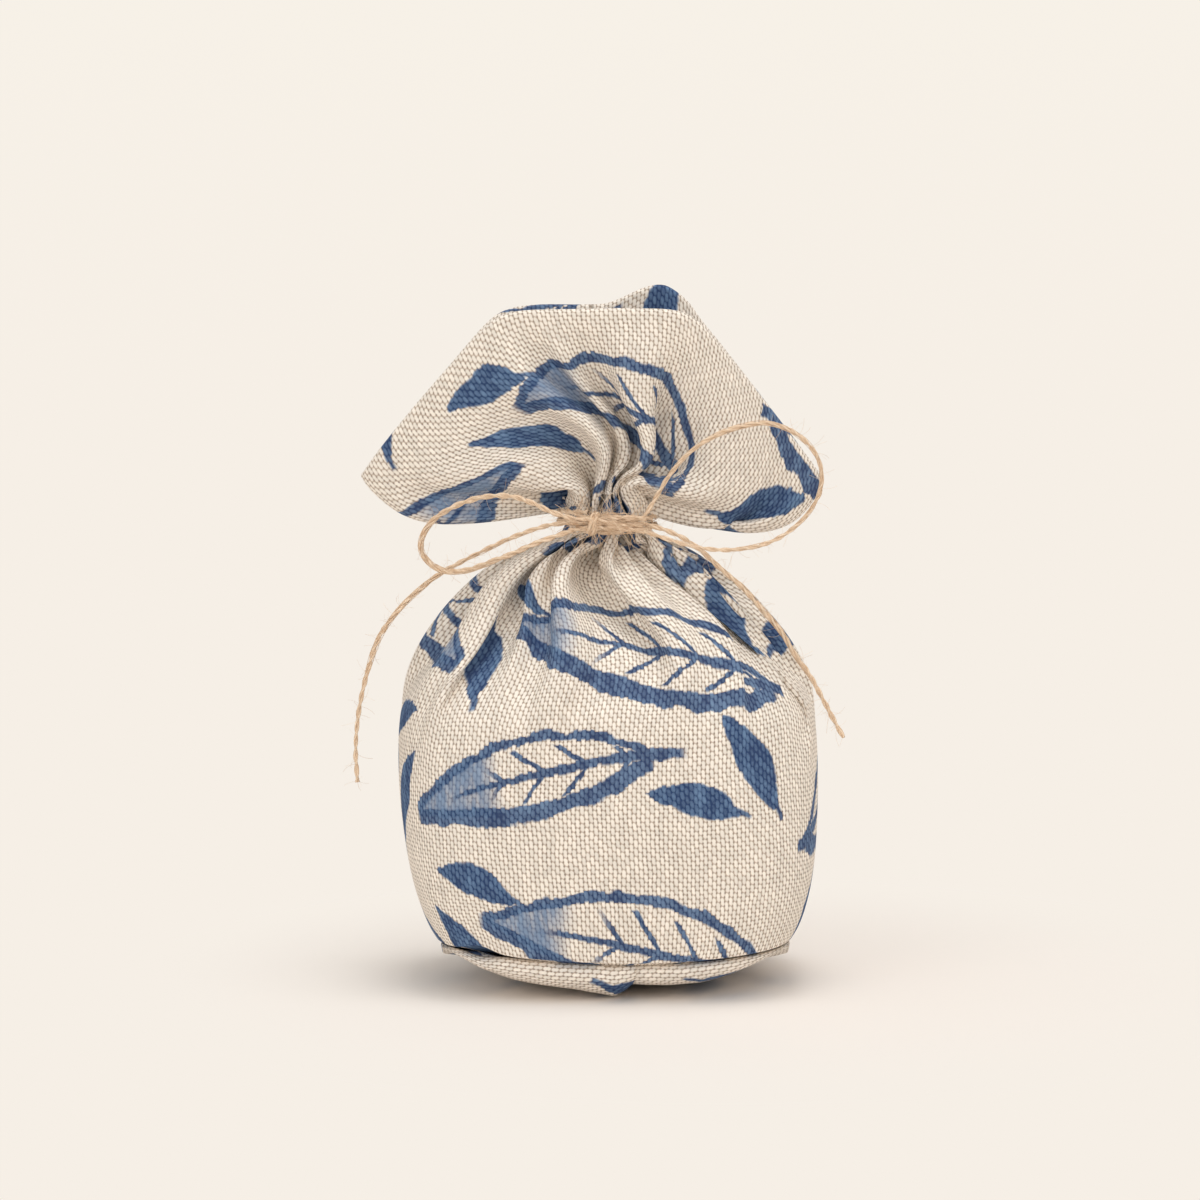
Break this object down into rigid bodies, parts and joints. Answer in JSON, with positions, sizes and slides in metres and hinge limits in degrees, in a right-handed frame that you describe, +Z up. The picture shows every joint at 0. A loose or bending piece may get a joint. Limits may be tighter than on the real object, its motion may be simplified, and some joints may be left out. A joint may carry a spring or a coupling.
{
  "type": "fabric pouch",
  "caption": "Small filled cloth pouch that stands on folded-under base flaps, gathered at the neck and tied with jute twine in a bow, with a flat fanned collar above.",
  "frame": {"origin": "on the surface that the pouch stands on, in the flat underside of the left base flap, straight below the tied neck", "axes": "+Z up through the tied neck, +X to the right as seen from the bow's side, -Y towards the bow"},
  "size_m": [0.0977, 0.062, 0.1386],
  "materials": {
    "printed_cloth": "plain-woven linen-look canvas in ecru and beige with an indigo brush print, matt",
    "cloth_back": "unprinted back of the same canvas, matt",
    "grain": "loose dried grain, matt",
    "jute": "two-ply natural jute twine with loose fibres, matt with a faint sheen"
  },
  "bodies": {
    "pouch": {"body_cloth": "printed_cloth", "base_flap_left": "printed_cloth", "base_flap_right": "printed_cloth", "filling": "grain", "neck_windings": "jute", "bow_knot": "jute"},
    "collar": {"collar_cloth": "printed_cloth", "collar_facing": "cloth_back"},
    "loop_left": {"bow_loop_left": "jute"},
    "loop_right": {"bow_loop_right": "jute"},
    "tail_left": {"twine_tail_left": "jute"},
    "tail_right": {"twine_tail_right": "jute"}
  },
  "joints": [
    {"name": "collar_tip", "type": "hinge", "parent": "pouch", "child": "collar", "pos_m": [0, 0, 0.093], "axis": [1, 0, 0], "range_deg": [-20, 8]},
    {"name": "loop_left_swing", "type": "hinge", "parent": "pouch", "child": "loop_left", "pos_m": [-0.007, -0.01435, 0.093], "axis": [0, 1, 0], "range_deg": [-12, 12]},
    {"name": "loop_right_swing", "type": "hinge", "parent": "pouch", "child": "loop_right", "pos_m": [0.007, -0.01435, 0.093], "axis": [0, -1, 0], "range_deg": [-12, 12]},
    {"name": "tail_left_swing", "type": "hinge", "parent": "pouch", "child": "tail_left", "pos_m": [-0.007, -0.01225, 0.093], "axis": [0, 1, 0], "range_deg": [-5, 30]},
    {"name": "tail_right_swing", "type": "hinge", "parent": "pouch", "child": "tail_right", "pos_m": [0.007, -0.01225, 0.093], "axis": [0, -1, 0], "range_deg": [-2, 30]}
  ]
}
